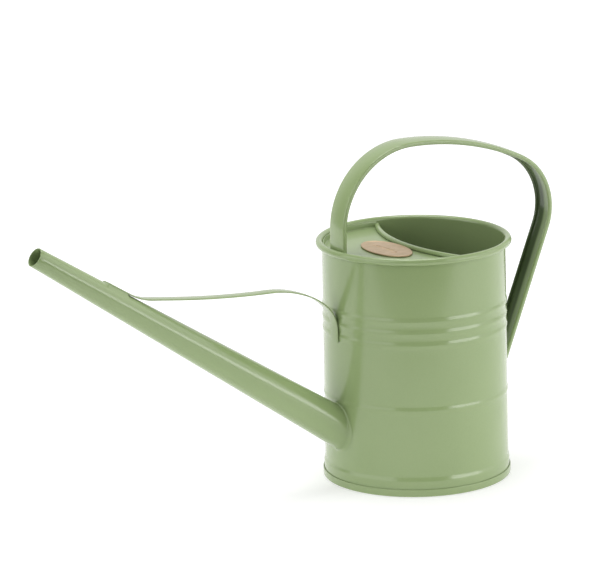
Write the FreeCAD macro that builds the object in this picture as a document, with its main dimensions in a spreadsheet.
import FreeCAD, Part
import os
import Sketcher

# Indoor watering can, 1.5 litre, sheet steel.
# Frame: millimetres, +Z up, the floor under the can is z = 0, the can's axis is the Z axis,
# the spout points to -X, the handle swings to +X, and the XZ plane is the plane of symmetry.

os.makedirs("parts", exist_ok=True)
doc = FreeCAD.newDocument("watering_can")
Vector = FreeCAD.Vector

# ---------------------------------------------------------------- sizes in one sheet

sheet = doc.addObject("Spreadsheet::Sheet", "Sizes")
next_row = [1]


def cell(alias, content, note=""):
    """Write one size (a number or a formula) into the sheet and give it a name."""
    row = next_row[0]
    sheet.set("A%d" % row, alias)
    sheet.set("B%d" % row, str(content))
    sheet.setAlias("B%d" % row, alias)
    sheet.set("C%d" % row, note)
    next_row[0] = row + 1
    return alias


cell("sheet_thick", 0.6, "steel sheet of the body, base and cover")
cell("fit_gap", 0.05, "air left between two pieces that are joined")

cell("wall_radius_top", 57.5, "outside of the wall under the rim")
cell("wall_radius_foot", 57.9, "outside of the wall above the foot")
cell("foot_radius", 58.6, "outside of the wall inside the base seam")
cell("flare_low", 9.4, "height where the foot starts to draw in")
cell("flare_high", 12.4, "height where the foot has reached the wall")

cell("rim_wire_radius", 1.5)
cell("rim_height", 150, "height of the wire in the rolled rim")
cell("roll_inside", "=rim_wire_radius + 0.1")
cell("roll_outside", "=roll_inside + sheet_thick")
cell("rim_radius", "=wall_radius_top + roll_inside", "axis to the wire in the rim")
cell("curl_end", 125, "the rolled edge stops this many degrees below the outermost point")

cell("bead_width", 5.2, "beads pressed outward into the wall")
cell("bead_rise", 0.4)
cell("bead_round", "=(bead_width * bead_width / 4 + bead_rise * bead_rise) / (2 * bead_rise)")
cell("band_height", 103.9, "middle bead of the band of three")
cell("band_pitch", 7.6)
cell("low_bead_height", 54.6, "single bead lower on the wall")

cell("base_height", 5.5, "top of the base disc above the floor")
cell("seam_height", 4.6, "folded seam that holds the base")
cell("seam_gap", 0.1, "air between the folded sheets")
cell("base_bevel", 1.5, "corner of the disc and its skirt, cut at 45 degrees")
cell("base_bevel_under", "=base_bevel + (sqrt(2) - 1) * sheet_thick", "the same corner underneath")
cell("base_edge", 0.35, "bevel of the edge that the can stands on")

cell("cover_top", 146.3, "top face of the cover")
cell("cover_clear", 0.15, "air between the cover and the wall")
cell("flange_top", 150.2, "top of the cover's upstanding flange")
cell("cover_edge_x", -6.2, "middle of the cover's rolled edge")
cell("cover_edge_round", 119, "radius of the cover's rolled edge seen from above")
cell("cover_wire_radius", 1.0)
cell("cover_roll_inside", "=cover_wire_radius + 0.1")
cell("cover_roll_outside", "=cover_roll_inside + sheet_thick")
cell("cover_roll_height", "=cover_top - sheet_thick + cover_roll_outside")
cell("cover_wire_short", 0.3, "air between the wire's ends and the flange's outer face")
cell("cover_weld_length", 4, "spot weld between flange and wall, along the wall")
cell("cover_weld_height", 2.2)

cell("spout_root_x", -46.2, "start of the spout's centre line, inside the can")
cell("spout_root_z", 30.26)
cell("spout_root_radius", 12.68)
cell("spout_tip_radius", 6.06)
cell("spout_length", 262.9, "length along the centre line")
cell("spout_lean", 56.13, "angle between the spout and the vertical")
cell("spout_solder_round", 1.8)

cell("handle_width", 16.6)
cell("handle_depth", 3.6)
cell("handle_sheet", 1.0)
cell("handle_crown", 0.6, "the outside of the strap is slightly domed")
cell("handle_edge", 2.2, "width of each rolled edge of the strap")
cell("handle_front_x", -54.9, "middle of the strap inside the front wall")
cell("handle_front_z", 120, "lower end of the front leg")
cell("handle_spring_z", 162.5, "height where the front leg starts to curve")
cell("handle_rear_x", 59.45, "middle of the strap on the back wall")
cell("handle_slot_gap", 0.35, "air around the strap where it passes the cover")
cell("handle_slot_run", 1, "the slot runs on through the flange")
cell("nugget_radius", 2, "spot welds between the strap and the front wall")
cell("front_weld_low", 126)
cell("front_weld_high", 137)
cell("heel_weld_radius", 1.1, "run of weld along the strap's lower end")
cell("heel_weld_short", 1.5, "the weld starts and stops this far from the ends of the straight")
cell("heel_weld_out", 0.3, "middle of the weld beyond the strap's edge")

cell("brace_width", 8)
cell("brace_thick", 0.9)
cell("brace_foot_x", -58.65, "middle of the strap on the front wall")
cell("brace_foot_z", 93.5, "lower end of the strap")
cell("brace_foot_length", 7.4, "straight part of the foot")
cell("brace_nugget_radius", 1.6)
cell("toe_solder_deep", 1.6, "solder under the strap's upper end")
cell("toe_solder_short", 0.5, "it starts this far from the bend and stops as far from the end")
cell("toe_solder_inset", 0.3, "it stays this far inside the strap's edges")
cell("toe_solder_apart", 1.6, "air between the two wedges")

cell("badge_x", -19.8)
cell("badge_half_length", 23.4)
cell("badge_half_width", 12.3)
cell("badge_plate_thick", 0.5)
cell("badge_film_thick", 0.3)
cell("badge_border", 1.3)
cell("badge_border_rise", 0.25)
cell("badge_film_inset", 1, "the adhesive stops this far inside the badge's edge")

cell("spare", 10, "cutting tools run this far past what they cut")
doc.recompute()


def size(text):
    """Value of a sheet name or of a formula made of sheet names, in millimetres or degrees."""
    result = sheet.evalExpression(text)
    return float(getattr(result, "Value", result))


def named(text):
    """Turn the bare sheet names of a formula into names that other objects understand."""
    words = []
    word = ""
    for letter in text + " ":
        if letter.isalnum() or letter == "_":
            word += letter
            continue
        known = word and not word[0].isdigit() and sheet.getCellFromAlias(word)
        words.append("Sizes." + word if known else word)
        words.append(letter)
        word = ""
    return "".join(words).strip()


# ---------------------------------------------------------------- paths of the two straps


class Path:
    """A run of straights and bends in the XZ plane; every corner is a pair of sheet cells."""

    def __init__(self, name, start_x, start_z, heading):
        self.name = name
        self.corners = []
        self.segments = []
        self.add_corner(start_x, start_z)
        self.heading = cell(name + "_heading_0", heading)

    def add_corner(self, x, z):
        label = "%s_%d" % (self.name, len(self.corners))
        self.corners.append((cell(label + "_x", x), cell(label + "_z", z)))
        doc.recompute()

    def straight(self, length):
        x, z = self.corners[-1]
        turn = (length, self.heading)
        self.add_corner("=%s + (%s) * cos(%s * 1 deg)" % ((x,) + turn),
                        "=%s + (%s) * sin(%s * 1 deg)" % ((z,) + turn))
        self.segments.append(None)

    def bend(self, radius, angle, side):
        """Turn left (side = 1) or right (side = -1) by the angle, on the radius."""
        x, z = self.corners[-1]
        old = self.heading
        sign = "+" if side > 0 else "-"
        new = cell("%s_heading_%d" % (self.name, len(self.corners)),
                   "=%s %s (%s)" % (old, sign, angle))
        swing = "(%s %s (%s) / 2)" % (old, sign, angle)
        along = "%s %s (%s) * (sin(%s * 1 deg) - sin(%s * 1 deg))"
        up = "%s %s (%s) * (cos(%s * 1 deg) - cos(%s * 1 deg))"
        middle = (along % (x, sign, radius, swing, old), up % (z, sign, radius, old, swing))
        self.segments.append((radius, middle))
        self.add_corner("=" + along % (x, sign, radius, new, old),
                        "=" + up % (z, sign, radius, old, new))
        self.heading = new


def handle_path():
    """Up inside the front wall, over the top, and down to the back wall."""
    cell("handle_front_round", 50.6)
    cell("handle_top_round", 184.3)
    cell("handle_top_turn", 26.2)
    cell("handle_back_round", 37.8)
    cell("handle_back_turn", 85.5)
    cell("handle_lean", "=handle_top_turn + handle_back_turn - 90", "rear leg to the vertical")
    cell("handle_heel_round", 30)
    cell("handle_tab", 18, "straight end lying on the back wall")
    path = Path("handle", "=handle_front_x", "=handle_front_z", 90)
    path.straight("handle_spring_z - handle_front_z")
    path.bend("handle_front_round", "90", -1)
    path.bend("handle_top_round", "handle_top_turn", -1)
    path.bend("handle_back_round", "handle_back_turn", -1)
    cell("handle_heel_x", "=handle_rear_x + handle_heel_round * (1 - cos(handle_lean * 1 deg))")
    cell("handle_leg", "=(handle_4_x - handle_heel_x) / sin(handle_lean * 1 deg)")
    doc.recompute()
    path.straight("handle_leg")
    path.bend("handle_heel_round", "handle_lean", 1)
    path.straight("handle_tab")
    return path


def brace_path():
    """Up the front wall, away from it in a shallow curve, and down on to the top of the spout."""
    cell("brace_heel_round", 22.2)
    cell("brace_heel_turn", 45)
    cell("brace_low_round", 45)
    cell("brace_low_turn", 20)
    cell("brace_mid_round", 70)
    cell("brace_mid_turn", 23.3)
    cell("brace_long_round", 620)
    cell("brace_long_turn", 6.1)
    cell("brace_toe_round", 38)
    cell("brace_toe", 17, "straight end lying on the spout")
    # The spout narrows toward its tip, so its top edge lies flatter than its centre line.
    cell("spout_taper", "=atan((spout_root_radius - spout_tip_radius) / spout_length) / 1 deg")
    cell("spout_top_slope", "=90 - spout_lean - spout_taper", "top edge to the horizontal")
    lift = "(brace_thick / 2 + fit_gap)"
    cell("top_x", "=spout_root_x + (spout_root_radius + %s) * cos(spout_lean * 1 deg)" % lift)
    cell("top_z", "=spout_root_z + (spout_root_radius + %s) * sin(spout_lean * 1 deg)" % lift)
    path = Path("brace", "=brace_foot_x", "=brace_foot_z", 90)
    path.straight("brace_foot_length")
    path.bend("brace_heel_round", "brace_heel_turn", 1)
    path.bend("brace_low_round", "brace_low_turn", 1)
    path.bend("brace_mid_round", "brace_mid_turn", 1)
    path.bend("brace_long_round", "brace_long_turn", -1)
    # The last straight runs until a bend of the chosen radius lands on the spout's top edge.
    rise = "tan((180 - brace_heading_5) * 1 deg)"
    slope = "tan(spout_top_slope * 1 deg)"
    cell("brace_toe_turn", "=brace_heading_5 - 180 + spout_top_slope")
    cell("brace_above", "=brace_5_z - top_z - (top_x - brace_5_x) * %s" % slope)
    cell("brace_run", "=brace_above / (%s - %s) / cos((180 - brace_heading_5) * 1 deg)"
         % (slope, rise))
    cell("brace_lead", "=brace_run - brace_toe_round * tan(brace_toe_turn / 2 * 1 deg)")
    doc.recompute()
    path.straight("brace_lead")
    path.bend("brace_toe_round", "brace_toe_turn", -1)
    path.straight("brace_toe")
    return path


# ---------------------------------------------------------------- drawing helpers

ORIGIN_POINT = (-1, 1)


def new_body(label):
    body = doc.addObject("PartDesign::Body", label)
    body.Label = label
    return body


def new_sketch(body, name, plane):
    """A sketch on one of the body's own origin planes."""
    sketch = body.newObject("Sketcher::SketchObject", name)
    planes = [f for f in body.Origin.OriginFeatures if f.Role == plane]
    sketch.AttachmentSupport = (planes[0], [""])
    sketch.MapMode = "FlatFace"
    return sketch


def pin(sketch, geometry, point, corner):
    """Hold one point of the sketch at sheet-driven distances from the origin."""
    for kind, text in zip(("DistanceX", "DistanceY"), corner):
        index = sketch.addConstraint(
            Sketcher.Constraint(kind, *ORIGIN_POINT, geometry, point, size(text)))
        sketch.setExpression("Constraints[%d]" % index, named(text))


def end_near(sketch, geometry, target):
    """Which end of a curve (1 start, 2 end) lies at the target point."""
    starts = (sketch.getPoint(geometry, 1) - target).Length
    ends = (sketch.getPoint(geometry, 2) - target).Length
    return 1 if starts < ends else 2


def outline(sketch, corners, arcs=None, closed=True):
    """Straights and arcs through corners, each corner a pair of formulas.

    arcs maps the number of a segment to (radius formula, formulas of a point on the arc)."""
    arcs = arcs or {}
    places = [Vector(size(x), size(y), 0) for x, y in corners]
    count = len(corners) if closed else len(corners) - 1
    segments = []
    for number in range(count):
        start = places[number]
        end = places[(number + 1) % len(places)]
        if number in arcs:
            middle = Vector(*[size(text) for text in arcs[number][1]], 0)
            curve = Part.Arc(start, middle, end)
        else:
            curve = Part.LineSegment(start, end)
        segments.append(sketch.addGeometry(curve, False))
    for number, segment in enumerate(segments):
        start = places[number]
        pin(sketch, segment, end_near(sketch, segment, start), corners[number])
        if number in arcs:
            radius = arcs[number][0]
            index = sketch.addConstraint(Sketcher.Constraint("Radius", segment, size(radius)))
            sketch.setExpression("Constraints[%d]" % index, named(radius))
        last_open = not closed and number == count - 1
        far = (number + 1) % len(places)
        if last_open:
            pin(sketch, segment, end_near(sketch, segment, places[far]), corners[far])
            continue
        following = segments[(number + 1) % len(segments)]
        sketch.addConstraint(Sketcher.Constraint(
            "Coincident",
            segment, end_near(sketch, segment, places[far]),
            following, end_near(sketch, following, places[far])))


def turned(body, name, corners, arcs=None):
    """A ring: the outline turned a full circle round the Z axis."""
    sketch = new_sketch(body, name + "_outline", "XZ_Plane")
    outline(sketch, corners, arcs)
    ring = body.newObject("PartDesign::Revolution", name)
    ring.Profile = sketch
    ring.ReferenceAxis = (sketch, ["V_Axis"])
    ring.Angle = 360
    doc.recompute()
    return ring


def bind(thing, **formulas):
    """Drive properties of an object by sheet formulas; dots are written as double underscores."""
    for name, text in formulas.items():
        thing.setExpression(name.replace("__", "."), named(text))


def cylinder(name, radius, height, x="0", z="0"):
    """An upright cylinder standing at height z."""
    solid = doc.addObject("Part::Cylinder", name)
    bind(solid, Radius=radius, Height=height, Placement__Base__x=x, Placement__Base__z=z)
    return solid


def peg(name, radius, length, x, y, z):
    """A cylinder lying along +X."""
    solid = doc.addObject("Part::Cylinder", name)
    solid.Placement.Rotation = FreeCAD.Rotation(Vector(0, 1, 0), 90)
    bind(solid, Radius=radius, Height=length)
    bind(solid, Placement__Base__x=x, Placement__Base__y=y, Placement__Base__z=z)
    return solid


def block(name, lengths, corner):
    """A box given by its three lengths and its low corner."""
    solid = doc.addObject("Part::Box", name)
    bind(solid, Length=lengths[0], Width=lengths[1], Height=lengths[2])
    bind(solid, Placement__Base__x=corner[0], Placement__Base__y=corner[1])
    bind(solid, Placement__Base__z=corner[2])
    return solid


def torus(name, radius, tube, x="0", z="0"):
    """A full ring lying flat."""
    solid = doc.addObject("Part::Torus", name)
    bind(solid, Radius1=radius, Radius2=tube, Placement__Base__x=x, Placement__Base__z=z)
    return solid


def spout_cone(name, root_radius, tip_radius, extra="0"):
    """A cone along the spout's centre line, longer than the spout at both ends by extra."""
    solid = doc.addObject("Part::Cone", name)
    solid.Placement.Rotation = FreeCAD.Rotation(Vector(0, 1, 0), -size("spout_lean"))
    flare = "((spout_root_radius - spout_tip_radius) / spout_length) * (%s)" % extra
    bind(solid, Radius1="%s + %s" % (root_radius, flare), Radius2="%s - %s" % (tip_radius, flare))
    bind(solid, Height="spout_length + 2 * (%s)" % extra)
    bind(solid, Placement__Base__x="spout_root_x + (%s) * sin(spout_lean * 1 deg)" % extra)
    bind(solid, Placement__Base__z="spout_root_z - (%s) * cos(spout_lean * 1 deg)" % extra)
    bind(solid, Placement__Rotation__Angle="spout_lean * 1 deg")
    solid.Placement.Rotation.Axis = Vector(0, -1, 0)
    return solid


def cut(name, base, tool):
    result = doc.addObject("Part::Cut", name)
    result.Base = base
    result.Tool = tool
    return result


def fuse(name, *pieces):
    result = doc.addObject("Part::MultiFuse", name)
    result.Shapes = list(pieces)
    return result


def common(name, first, second):
    result = doc.addObject("Part::MultiCommon", name)
    result.Shapes = [first, second]
    return result


# ---------------------------------------------------------------- the can


def wall_radius(height):
    """Formula for the outside radius of the slightly tapered wall at a height."""
    share = "((%s - flare_high) / (rim_height - flare_high))" % height
    return "wall_radius_foot - (wall_radius_foot - wall_radius_top) * %s" % share


def bead_heights():
    band = ["band_height - band_pitch", "band_height", "band_height + band_pitch"]
    return ["low_bead_height"] + band


def make_body_shell():
    """Wall, flared foot, pressed beads and the rolled rim: one sheet, turned about the axis."""
    body = new_body("body_shell")
    corners = []
    arcs = {}
    corners.append(("foot_radius", "seam_gap + sheet_thick"))
    corners.append(("foot_radius", "flare_low"))
    corners.append(("wall_radius_foot", "flare_high"))
    for middle in bead_heights():
        for side in ("-", "+"):
            height = "(%s %s bead_width / 2)" % (middle, side)
            if side == "-":
                crown = ("%s + bead_rise" % wall_radius("(%s)" % middle), middle)
                arcs[len(corners)] = ("bead_round", crown)
            corners.append((wall_radius(height), height))

    def on_rim(radius, angle):
        return ("rim_radius + %s * cos(%s)" % (radius, angle),
                "rim_height + %s * sin(%s)" % (radius, angle))

    corners.append(("wall_radius_top", "rim_height"))
    arcs[len(corners) - 1] = ("roll_inside", on_rim("roll_inside", "25 deg"))
    corners.append(on_rim("roll_inside", "(-curl_end * 1 deg)"))
    corners.append(on_rim("roll_outside", "(-curl_end * 1 deg)"))
    arcs[len(corners) - 1] = ("roll_outside", on_rim("roll_outside", "25 deg"))
    corners.append(("wall_radius_top - sheet_thick", "rim_height"))
    for middle in reversed(bead_heights()):
        for side in ("+", "-"):
            height = "(%s %s bead_width / 2)" % (middle, side)
            if side == "+":
                crown = ("%s + bead_rise - sheet_thick" % wall_radius("(%s)" % middle), middle)
                arcs[len(corners)] = ("bead_round", crown)
            corners.append((wall_radius(height) + " - sheet_thick", height))
    corners.append(("wall_radius_foot - sheet_thick", "flare_high"))
    corners.append(("foot_radius - sheet_thick", "flare_low"))
    corners.append(("foot_radius - sheet_thick", "seam_gap + sheet_thick"))
    turned(body, "Wall", corners, arcs)

    hole = body.newObject("PartDesign::SubtractiveCone", "SpoutHole")
    bind(hole, Radius1="spout_root_radius - sheet_thick", Radius2="spout_tip_radius - sheet_thick")
    bind(hole, Height="spout_length")
    bind(hole, Placement__Base__x="spout_root_x", Placement__Base__z="spout_root_z")
    hole.Placement.Rotation = FreeCAD.Rotation(Vector(0, -1, 0), size("spout_lean"))
    bind(hole, Placement__Rotation__Angle="spout_lean * 1 deg")
    doc.recompute()
    return body


def make_base_disc():
    """The bottom: a raised disc, a short skirt, and the seam folded round the wall's lower end."""
    body = new_body("base_disc")
    inner = "(foot_radius - sheet_thick - seam_gap)"
    outer = "(foot_radius + seam_gap)"
    ring = "base_height"
    corners = [
        ("0", ring),
        (inner + " - base_bevel", ring),
        (inner, ring + " - base_bevel"),
        (inner, "sheet_thick"),
        (outer, "sheet_thick"),
        (outer, "seam_height"),
        (outer + " + sheet_thick", "seam_height"),
        (outer + " + sheet_thick", "base_edge"),
        (outer + " + sheet_thick - base_edge", "0"),
        (inner + " - sheet_thick + base_edge", "0"),
        (inner + " - sheet_thick", "base_edge"),
        (inner + " - sheet_thick", ring + " - base_bevel_under"),
        (inner + " - base_bevel_under", ring + " - sheet_thick"),
        ("0", ring + " - sheet_thick"),
    ]
    turned(body, "Disc", corners)
    return body


def make_rim_wire():
    """Steel wire that the rim is rolled round."""
    ring = torus("rim_wire", "rim_radius", "rim_wire_radius", z="rim_height")
    ring.Label = "rim_wire"
    return ring


def cover_centre_x():
    """Centre of the round rolled edge of the cover, seen from above."""
    return "cover_edge_x + cover_edge_round"


def make_cover_plate():
    """Half-moon plate with a flange against the wall and a rolled free edge."""
    rim_side = "(wall_radius_top - sheet_thick - cover_clear)"
    low = "cover_top - sheet_thick"
    disc = cylinder("CoverDisc", rim_side, "sheet_thick", z=low)
    bore = cylinder("CoverBore", "cover_edge_round", "2 * sheet_thick",
                    x=cover_centre_x(), z=low + " - sheet_thick / 2")
    plate = cut("CoverFlat", disc, bore)
    ring_out = cylinder("FlangeOutside", rim_side, "flange_top - cover_top + sheet_thick", z=low)
    ring_in = cylinder("FlangeInside", rim_side + " - sheet_thick",
                       "flange_top - cover_top + 3 * sheet_thick", z=low + " - sheet_thick")
    ring = cut("FlangeRing", ring_out, ring_in)
    mouth = cylinder("FlangeMouth", "cover_edge_round",
                     "flange_top - cover_top + 3 * sheet_thick",
                     x=cover_centre_x(), z=low + " - sheet_thick")
    flange = cut("Flange", ring, mouth)
    roll = torus("CoverRoll", "cover_edge_round", "cover_roll_outside",
                 x=cover_centre_x(), z="cover_roll_height")
    keep = cylinder("RollKeep", rim_side, "4 * cover_roll_outside",
                    z="cover_roll_height - 2 * cover_roll_outside")
    roll_inside_can = common("CoverRollCut", roll, keep)
    solid = fuse("CoverSolid", plate, flange, roll_inside_can)
    hollow = torus("CoverRollHollow", "cover_edge_round", "cover_roll_inside",
                   x=cover_centre_x(), z="cover_roll_height")
    rolled = cut("CoverRolled", solid, hollow)
    depth = "(handle_depth + 2 * handle_slot_gap)"
    width = "(handle_width + 2 * handle_slot_gap)"
    slot = block("HandleSlot", (depth + " + handle_slot_run", width, "2 * spare"),
                 ("handle_front_x - %s / 2 - handle_slot_run" % depth, "-%s / 2" % width,
                  low + " - spare"))
    plate_with_slot = cut("cover_plate", rolled, slot)
    plate_with_slot.Label = "cover_plate"
    return plate_with_slot


def make_cover_edge_wire():
    """Wire inside the cover's rolled free edge."""
    ring = torus("CoverWireRing", "cover_edge_round", "cover_wire_radius",
                 x=cover_centre_x(), z="cover_roll_height")
    keep = cylinder("CoverWireKeep",
                    "wall_radius_top - sheet_thick - cover_clear - cover_wire_short",
                    "2 * spare", z="cover_roll_height - spare")
    wire = common("cover_edge_wire", ring, keep)
    wire.Label = "cover_edge_wire"
    return wire


# ---------------------------------------------------------------- spout


def make_spout_tube():
    """Straight tapered tube, cut at the root to sit on the round wall."""
    outside = spout_cone("SpoutOutside", "spout_root_radius", "spout_tip_radius")
    inside = spout_cone("SpoutInside", "spout_root_radius - sheet_thick",
                        "spout_tip_radius - sheet_thick", "spare")
    tube = cut("SpoutTubeLong", outside, inside)
    can = cylinder("SpoutTrim", "wall_radius_foot + fit_gap", "rim_height")
    trimmed = cut("spout_tube", tube, can)
    trimmed.Label = "spout_tube"
    return trimmed


def make_spout_solder():
    """Hollow-faced ring of solder that fills the corner between the spout and the wall."""
    can = cylinder("SolderCan", "wall_radius_foot + fit_gap", "rim_height / 2")
    cone = spout_cone("SolderCone", "spout_root_radius", "spout_tip_radius")
    joined = fuse("SolderJoined", can, cone)
    doc.recompute()
    corner_edges = []
    wall = size("wall_radius_foot")
    least = size("sheet_thick")
    for number, edge in enumerate(joined.Shape.Edges, start=1):
        box = edge.BoundBox
        # The corner runs round the spout, so it is wide and tall and lies close to the wall.
        crossing = box.XMax < -wall / 2 and min(box.YLength, box.ZLength) > 5 * least
        near_wall = box.XMin > -wall - least
        if crossing and near_wall:
            corner_edges.append(number)
    rounded = doc.addObject("Part::Fillet", "SolderRounded")
    rounded.Base = joined
    radius = size("spout_solder_round")
    rounded.Edges = [(number, radius, radius) for number in corner_edges]
    doc.recompute()
    less_can = cut("SolderLessCan", rounded, can)
    ring = cut("spout_solder", less_can, cone)
    ring.Label = "spout_solder"
    doc.recompute()
    return ring


# ---------------------------------------------------------------- straps


def strap_along(label, path, section_corners, section_arcs=None):
    """Sweep a flat section that starts in a level plane along a path in the XZ plane."""
    body = new_body(label)
    section = new_sketch(body, label + "_section", "XY_Plane")
    section.setExpression("AttachmentOffset.Base.z", "Sizes." + path.corners[0][1])
    outline(section, section_corners, section_arcs)
    spine = new_sketch(body, label + "_path", "XZ_Plane")
    arcs = {n: bend for n, bend in enumerate(path.segments) if bend}
    outline(spine, path.corners, arcs, closed=False)
    sweep = body.newObject("PartDesign::AdditivePipe", label + "_sweep")
    sweep.Profile = section
    sweep.Spine = (spine, ["Edge%d" % (n + 1) for n in range(len(path.segments))])
    sweep.Transition = "Transformed"
    doc.recompute()
    return body


def make_handle_strap(path):
    """Channel strap: domed outside, both long edges rolled in toward the hand."""
    half_depth = "handle_depth / 2"
    round_edge = "handle_edge / 2"
    far = "handle_width / 2"
    near = "(handle_width / 2 - handle_edge)"
    mid = "(handle_width / 2 - handle_edge / 2)"
    cell("handle_dome", "=((%s) * (%s) + handle_crown * handle_crown) / (2 * handle_crown)"
         % (mid, mid))
    cell("handle_hollow", "=((%s) * (%s) + handle_crown * handle_crown) / (2 * handle_crown)"
         % (near, near))
    doc.recompute()

    def place(outward, across):
        return ("handle_front_x - (%s)" % outward, across)

    lip = "(-%s + %s)" % (half_depth, round_edge)
    shoulder = "(%s - handle_crown)" % half_depth
    corner_45 = "0.7071 * handle_edge / 2"
    corners = []
    arcs = {}

    def half(sign, forward):
        """Corners of one rolled edge, from the hollow side to the domed side."""
        s = sign
        ring = [
            (place("(%s - handle_sheet)" % shoulder, "%s%s" % (s, near)), None),
            (place(lip, "%s%s" % (s, near)),
             place("(%s - %s)" % (lip, corner_45), "%s(%s - %s)" % (s, mid, corner_45))),
            (place("(-%s)" % half_depth, "%s%s" % (s, mid)),
             place("(%s - %s)" % (lip, corner_45), "%s(%s + %s)" % (s, mid, corner_45))),
            (place(lip, "%s(%s)" % (s, far)), None),
            (place("(%s - %s)" % (shoulder, round_edge), "%s(%s)" % (s, far)),
             place("(%s - %s + %s)" % (shoulder, round_edge, corner_45),
                   "%s(%s + %s)" % (s, mid, corner_45))),
            (place(shoulder, "%s%s" % (s, mid)), None),
        ]
        return ring if forward else ring[::-1]

    first = half("", True)
    for place_xy, bend in first:
        if bend:
            arcs[len(corners)] = (round_edge, bend)
        corners.append(place_xy)
    arcs[len(corners) - 1] = ("handle_dome", place(half_depth, "0"))
    second = half("-", False)
    for number, (place_xy, bend) in enumerate(second):
        # Walking backward, the arc that leaves a corner is the one that belonged to the next.
        following = second[number + 1][1] if number + 1 < len(second) else None
        if following:
            arcs[len(corners)] = (round_edge, following)
        corners.append(place_xy)
    arcs[len(corners) - 1] = ("handle_hollow",
                              place("(%s - handle_sheet)" % half_depth, "0"))
    return strap_along("handle_strap", path, corners, arcs)


def make_brace_strap(path):
    """Flat strip that ties the spout to the wall."""
    low = "brace_foot_x - brace_thick / 2"
    high = "brace_foot_x + brace_thick / 2"
    corners = [(low, "-brace_width / 2"), (high, "-brace_width / 2"),
               (high, "brace_width / 2"), (low, "brace_width / 2")]
    return strap_along("brace_strap", path, corners)


# ---------------------------------------------------------------- joints in metal


def make_handle_front_spot_welds(shell, strap):
    """Two flat nuggets between the strap and the inside of the front wall."""
    pegs = []
    for height in ("front_weld_low", "front_weld_high"):
        pegs.append(peg("Peg_" + height, "nugget_radius", "2 * sheet_thick",
                        "-wall_radius_top", "0", height))
    pair = fuse("FrontWelds", *pegs)
    clear = cut("FrontWeldsLessWall", pair, shell)
    nuggets = cut("handle_front_spot_welds", clear, strap)
    nuggets.Label = "handle_front_spot_welds"
    return nuggets


def make_handle_rear_welds(strap):
    """A run of weld along both edges of the strap's lower end, in the corner with the wall."""
    runs = []
    for number, side in enumerate(("-", "")):
        run = cylinder("RearWeld%d" % number, "heel_weld_radius",
                       "handle_tab - 2 * heel_weld_short",
                       x="wall_radius_top", z="handle_7_z + heel_weld_short")
        bind(run, Placement__Base__y="%s(handle_width / 2 + heel_weld_out)" % side)
        runs.append(run)
    pair = fuse("RearWelds", *runs)
    filled = cylinder("RearWeldWall", "wall_radius_foot + fit_gap / 2", "rim_height / 2",
                      z="flare_high")
    less_wall = cut("RearWeldsLessWall", pair, filled)
    beads = cut("handle_rear_welds", less_wall, strap)
    beads.Label = "handle_rear_welds"
    return beads


def make_brace_wall_spot_welds(shell, strap):
    """Nuggets between the strip's lower end and the crowns of two beads."""
    pegs = []
    for number, height in enumerate(("band_height - band_pitch", "band_height")):
        pegs.append(peg("BraceWeld%d" % number, "brace_nugget_radius", "brace_thick",
                        "brace_foot_x", "0", height))
    pair = fuse("BraceWelds", *pegs)
    clear = cut("BraceWeldsLessStrap", pair, strap)
    nuggets = cut("brace_wall_spot_welds", clear, shell)
    nuggets.Label = "brace_wall_spot_welds"
    return nuggets


def make_brace_spout_solder(strap):
    """Two slim wedges of solder under the strip's upper end, one down each side of the spout."""
    slab = block("ToeSlab",
                 ("brace_toe - 2 * toe_solder_short", "brace_width - 2 * toe_solder_inset",
                  "toe_solder_deep"),
                 ("brace_8_x + toe_solder_short * cos(spout_top_slope * 1 deg)"
                  " - toe_solder_deep * sin(spout_top_slope * 1 deg)",
                  "toe_solder_inset - brace_width / 2",
                  "brace_8_z - toe_solder_short * sin(spout_top_slope * 1 deg)"
                  " - toe_solder_deep * cos(spout_top_slope * 1 deg)"))
    slab.Placement.Rotation = FreeCAD.Rotation(Vector(0, 1, 0), size("spout_top_slope"))
    less_strap = cut("ToeLessStrap", slab, strap)
    cone = spout_cone("ToeCone", "spout_root_radius", "spout_tip_radius")
    less_spout = cut("ToeLessSpout", less_strap, cone)
    middle = block("ToeMiddle", ("4 * brace_toe", "toe_solder_apart", "4 * brace_toe"),
                   ("brace_8_x - 2 * brace_toe", "-toe_solder_apart / 2",
                    "brace_8_z - 2 * brace_toe"))
    wedges = cut("brace_spout_solder", less_spout, middle)
    wedges.Label = "brace_spout_solder"
    return wedges


def make_cover_spot_welds(shell, cover):
    """Nuggets that hold the cover's flange to the inside of the wall."""
    welds = []
    reach = "(wall_radius_top - sheet_thick - cover_clear - sheet_thick / 2)"
    for angle in (110, 135, 160, 200, 225, 250):
        weld = block("CoverWeld%d" % angle, ("sheet_thick", "cover_weld_length",
                                             "cover_weld_height"), ("0", "0", "0"))
        turn = "(%d * 1 deg)" % angle
        half = "(cover_weld_length / 2)"
        weld.Placement.Rotation = FreeCAD.Rotation(Vector(0, 0, 1), angle)
        bind(weld, Placement__Base__x="%s * cos%s + %s * sin%s" % (reach, turn, half, turn))
        bind(weld, Placement__Base__y="%s * sin%s - %s * cos%s" % (reach, turn, half, turn))
        bind(weld, Placement__Base__z="flange_top - sheet_thick / 2 - cover_weld_height")
        welds.append(weld)
    ring = fuse("CoverWelds", *welds)
    less_wall = cut("CoverWeldsLessWall", ring, shell)
    nuggets = cut("cover_spot_welds", less_wall, cover)
    nuggets.Label = "cover_spot_welds"
    return nuggets


# ---------------------------------------------------------------- badge


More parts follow.
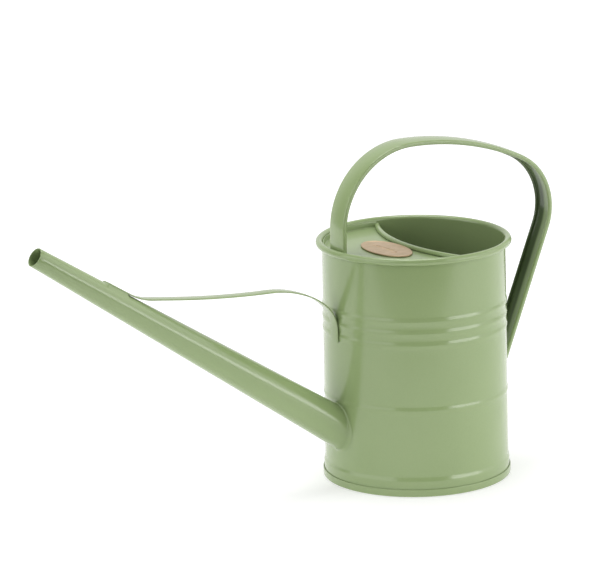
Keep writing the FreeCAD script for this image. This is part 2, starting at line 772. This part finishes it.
def ellipse(sketch, centre_x, half_length, half_width):
    """An oval with its long axis across the can."""
    middle = Vector(size(centre_x), 0, 0)
    long_end = middle + Vector(0, size(half_length), 0)
    short_end = middle + Vector(-size(half_width), 0, 0)
    oval = sketch.addGeometry(Part.Ellipse(long_end, short_end, middle), False)
    first = sketch.GeometryCount
    sketch.exposeInternalGeometry(oval)
    for line, length in ((first, half_length), (first + 1, half_width)):
        index = sketch.addConstraint(Sketcher.Constraint("Distance", line, 2 * size(length)))
        sketch.setExpression("Constraints[%d]" % index, named("2 * (%s)" % length))
    sketch.addConstraint(Sketcher.Constraint("Vertical", first))
    pin(sketch, oval, 3, (centre_x, "0"))


def oval_pad(body, name, base, thickness, ovals):
    sketch = new_sketch(body, name + "_oval", "XY_Plane")
    sketch.setExpression("AttachmentOffset.Base.z", named(base))
    for half_length, half_width in ovals:
        ellipse(sketch, "badge_x", half_length, half_width)
    pad = body.newObject("PartDesign::Pad", name)
    pad.Profile = sketch
    pad.setExpression("Length", named(thickness))
    doc.recompute()
    return pad


def make_badge_film():
    """Thin pad of adhesive under the badge."""
    body = new_body("badge_adhesive")
    oval_pad(body, "Film", "cover_top + fit_gap", "badge_film_thick",
             [("badge_half_length - badge_film_inset", "badge_half_width - badge_film_inset")])
    return body


def make_badge_plate():
    """Plain oval metal badge with a raised border."""
    body = new_body("badge_plate")
    base = "cover_top + 2 * fit_gap + badge_film_thick"
    full = ("badge_half_length", "badge_half_width")
    inner = ("badge_half_length - badge_border", "badge_half_width - badge_border")
    oval_pad(body, "Plate", base, "badge_plate_thick", [full])
    oval_pad(body, "Border", base + " + badge_plate_thick", "badge_border_rise", [full, inner])
    return body


# ---------------------------------------------------------------- build and write

handle_line = handle_path()
brace_line = brace_path()

body_shell = make_body_shell()
handle_strap = make_handle_strap(handle_line)
brace_strap = make_brace_strap(brace_line)
cover_plate = make_cover_plate()

nodes = [
    body_shell,
    make_base_disc(),
    make_rim_wire(),
    cover_plate,
    make_cover_edge_wire(),
    make_cover_spot_welds(body_shell, cover_plate),
    make_spout_tube(),
    make_spout_solder(),
    handle_strap,
    make_handle_front_spot_welds(body_shell, handle_strap),
    make_handle_rear_welds(handle_strap),
    brace_strap,
    make_brace_wall_spot_welds(body_shell, brace_strap),
    make_brace_spout_solder(brace_strap),
    make_badge_plate(),
    make_badge_film(),
]
doc.recompute()

for thing in doc.Objects:
    troubled = [word for word in thing.State if word in ("Invalid", "Error")]
    if troubled:
        raise RuntimeError("%s is %s" % (thing.Label, troubled))

for node in nodes:
    shape = node.Shape
    if shape.isNull() or not shape.isValid() or shape.Volume <= 0:
        raise RuntimeError("%s has no sound shape" % node.Label)
    shape.exportStep("parts/%s.step" % node.Label)
    box = shape.BoundBox
    print("%-24s %9.1f mm3 %2d solid  x %7.1f %7.1f  y %6.1f %6.1f  z %6.1f %6.1f"
          % (node.Label, shape.Volume, len(shape.Solids), box.XMin, box.XMax,
             box.YMin, box.YMax, box.ZMin, box.ZMax))
